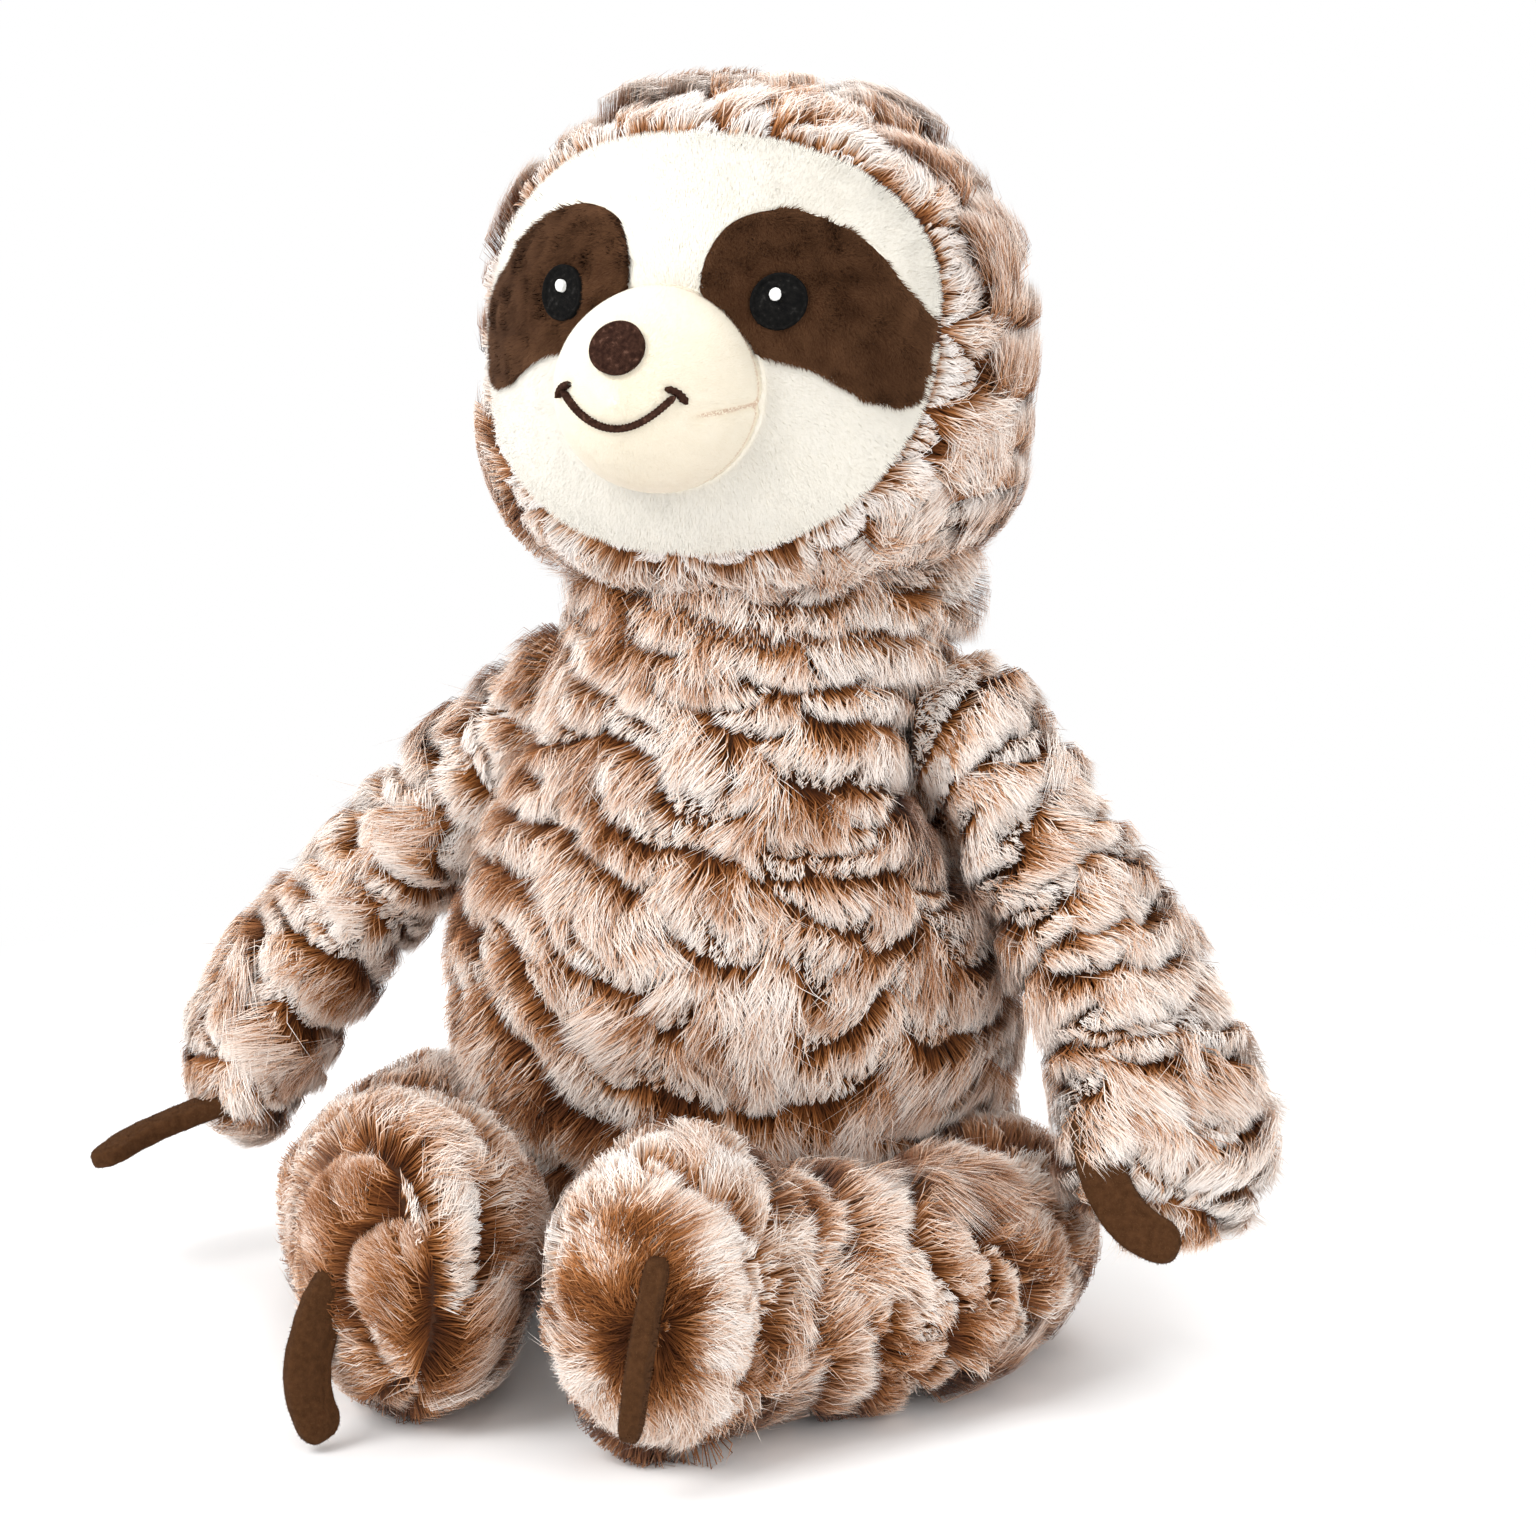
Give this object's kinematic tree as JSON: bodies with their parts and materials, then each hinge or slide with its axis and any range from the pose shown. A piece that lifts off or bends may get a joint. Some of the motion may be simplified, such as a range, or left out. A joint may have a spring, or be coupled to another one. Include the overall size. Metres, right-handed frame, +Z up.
{
  "type": "plush sloth",
  "caption": "Stuffed sitting sloth with a round hooded head, embroidered face, hinged neck, shoulders and hips, and felt claws on its hands and feet.",
  "frame": {"origin": "on the surface that the toy sits on, under the middle of its torso", "axes": "+Z up, the toy looks along -Y, and +X points to its own left"},
  "size_m": [0.2961, 0.2266, 0.303],
  "materials": {
    "shag": "long brushed pile, brown at the roots and cream at the tips",
    "cream_pile": "short cream pile",
    "velour": "very short warm cream pile",
    "brown_pile": "short dark brown pile",
    "felt": "matte brown felt",
    "dark_thread": "satin stitched dark brown thread",
    "black_thread": "satin stitched black thread",
    "white_thread": "satin stitched white thread",
    "filling": "white polyester fibre",
    "pouch_cloth": "plain woven pouch of bean pellets"
  },
  "bodies": {
    "torso": {"body_plush": "shag", "body_stuffing": "filling", "pellet_pouch": "pouch_cloth"},
    "neck": {"neck_stuffing": "filling"},
    "head": {"head_plush": "shag", "head_stuffing": "filling", "left_eye_patch": "brown_pile", "right_eye_patch": "brown_pile", "forehead_panel": "cream_pile", "cheek_panel": "cream_pile", "muzzle": "velour", "nose_embroidery": "dark_thread", "smile_embroidery": "dark_thread", "left_eye": "black_thread", "right_eye": "black_thread", "left_eye_glint": "white_thread", "right_eye_glint": "white_thread"},
    "left_arm": {"left_arm_plush": "shag", "left_arm_stuffing": "filling", "left_hand_claw": "felt"},
    "right_arm": {"right_arm_plush": "shag", "right_arm_stuffing": "filling", "right_hand_claw": "felt"},
    "left_leg": {"left_leg_plush": "shag", "left_leg_stuffing": "filling", "left_foot_claw": "felt"},
    "right_leg": {"right_leg_plush": "shag", "right_leg_stuffing": "filling", "right_foot_claw": "felt"}
  },
  "joints": [
    {"name": "neck_turn", "type": "hinge", "parent": "torso", "child": "neck", "pos_m": [0, 0.006, 0.158], "axis": [0, 0, 1], "range_deg": [-45, 45]},
    {"name": "neck_nod", "type": "hinge", "parent": "neck", "child": "head", "pos_m": [0, 0.006, 0.158], "axis": [1, 0, 0], "range_deg": [-12, 12]},
    {"name": "left_shoulder", "type": "hinge", "parent": "torso", "child": "left_arm", "pos_m": [0.045, 0.002, 0.147], "axis": [-1, 0, 0], "range_deg": [-30, 90]},
    {"name": "right_shoulder", "type": "hinge", "parent": "torso", "child": "right_arm", "pos_m": [-0.045, 0.002, 0.147], "axis": [-1, 0, 0], "range_deg": [-30, 90]},
    {"name": "left_hip", "type": "hinge", "parent": "torso", "child": "left_leg", "pos_m": [0.05, -0.014, 0.027], "axis": [0, 0, 1], "range_deg": [0, 16]},
    {"name": "right_hip", "type": "hinge", "parent": "torso", "child": "right_leg", "pos_m": [-0.05, -0.014, 0.027], "axis": [0, 0, -1], "range_deg": [0, 16]}
  ]
}
